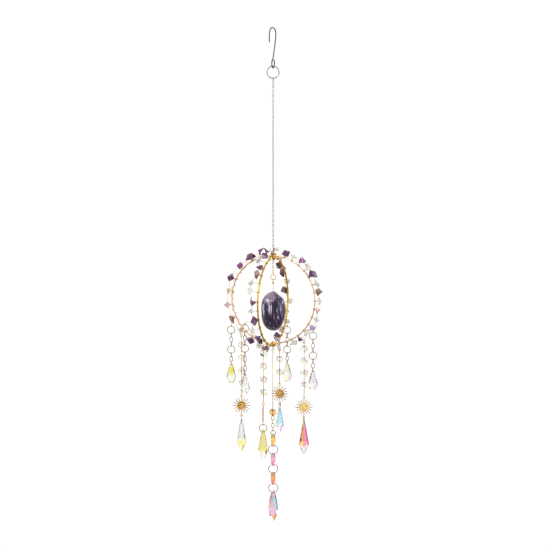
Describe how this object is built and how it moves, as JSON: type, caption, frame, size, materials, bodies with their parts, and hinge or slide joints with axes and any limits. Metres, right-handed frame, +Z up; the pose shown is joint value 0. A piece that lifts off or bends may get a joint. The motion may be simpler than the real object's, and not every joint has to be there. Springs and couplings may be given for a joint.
{
  "type": "crystal suncatcher",
  "caption": "Hanging suncatcher: a hook and fine chain carry a wire globe dressed with stone chips, a tumbled stone inside it, and strands of beads, suns and crystal drops.",
  "frame": {"origin": "inside top of the hook's crook, where the piece hangs on a rod or nail", "axes": "+Z up along the chain, +X to the right and +Y away from the viewer in the picture's view"},
  "size_m": [0.1107, 0.1073, 0.5505],
  "materials": {
    "hook_metal": "antique rose-brown plating, satin",
    "ring_metal": "bright silver-grey wire",
    "chain_metal": "rose-brown plating, satin",
    "gold_metal": "gold plated, polished",
    "chips": "polished amethyst, quartz and rose chips",
    "amethyst": "tumbled, glossy",
    "crystal": "faceted, with an iridescent coating"
  },
  "bodies": {
    "root": {"hook": "hook_metal", "top_ring": "ring_metal", "chain": "chain_metal", "hoop_wide": "gold_metal", "hoop_narrow": "gold_metal", "top_binding": "gold_metal", "bottom_binding": "gold_metal", "stone_chain": "gold_metal", "stone_ring": "gold_metal", "stone_pin": "gold_metal", "amethyst_stone": "amethyst", "garland_right": "chips", "garland_back": "chips", "garland_left": "chips", "garland_front": "chips", "short_right_upper_ring": "gold_metal", "short_right_links": "gold_metal", "short_right_lower_ring": "gold_metal", "short_right_drop_links": "gold_metal", "short_right_drop": "crystal", "short_back_upper_ring": "gold_metal", "short_back_links": "gold_metal", "short_back_lower_ring": "gold_metal", "short_back_drop_links": "gold_metal", "short_back_drop": "crystal", "short_left_upper_ring": "gold_metal", "short_left_links": "gold_metal", "short_left_lower_ring": "gold_metal", "short_left_drop_links": "gold_metal", "short_left_drop": "crystal", "short_front_upper_ring": "gold_metal", "short_front_links": "gold_metal", "short_front_lower_ring": "gold_metal", "short_front_drop_links": "gold_metal", "short_front_drop": "crystal", "long_right_bead_string": "crystal", "long_right_sun": "gold_metal", "long_right_drop_ring": "gold_metal", "long_right_drop": "crystal", "long_back_bead_string": "crystal", "long_back_sun": "gold_metal", "long_back_drop_ring": "gold_metal", "long_back_drop": "crystal", "long_left_bead_string": "crystal", "long_left_sun": "gold_metal", "long_left_drop_ring": "gold_metal", "long_left_drop": "crystal", "long_front_bead_string": "crystal", "long_front_sun": "gold_metal", "long_front_drop_ring": "gold_metal", "long_front_drop": "crystal", "centre_string": "gold_metal", "centre_ring_1": "gold_metal", "centre_ring_2": "gold_metal", "centre_ring_3": "gold_metal", "centre_ring_4": "gold_metal", "centre_octagon_1": "crystal", "centre_octagon_2": "crystal", "centre_octagon_3": "crystal", "centre_drop": "crystal"}
  },
  "joints": []
}
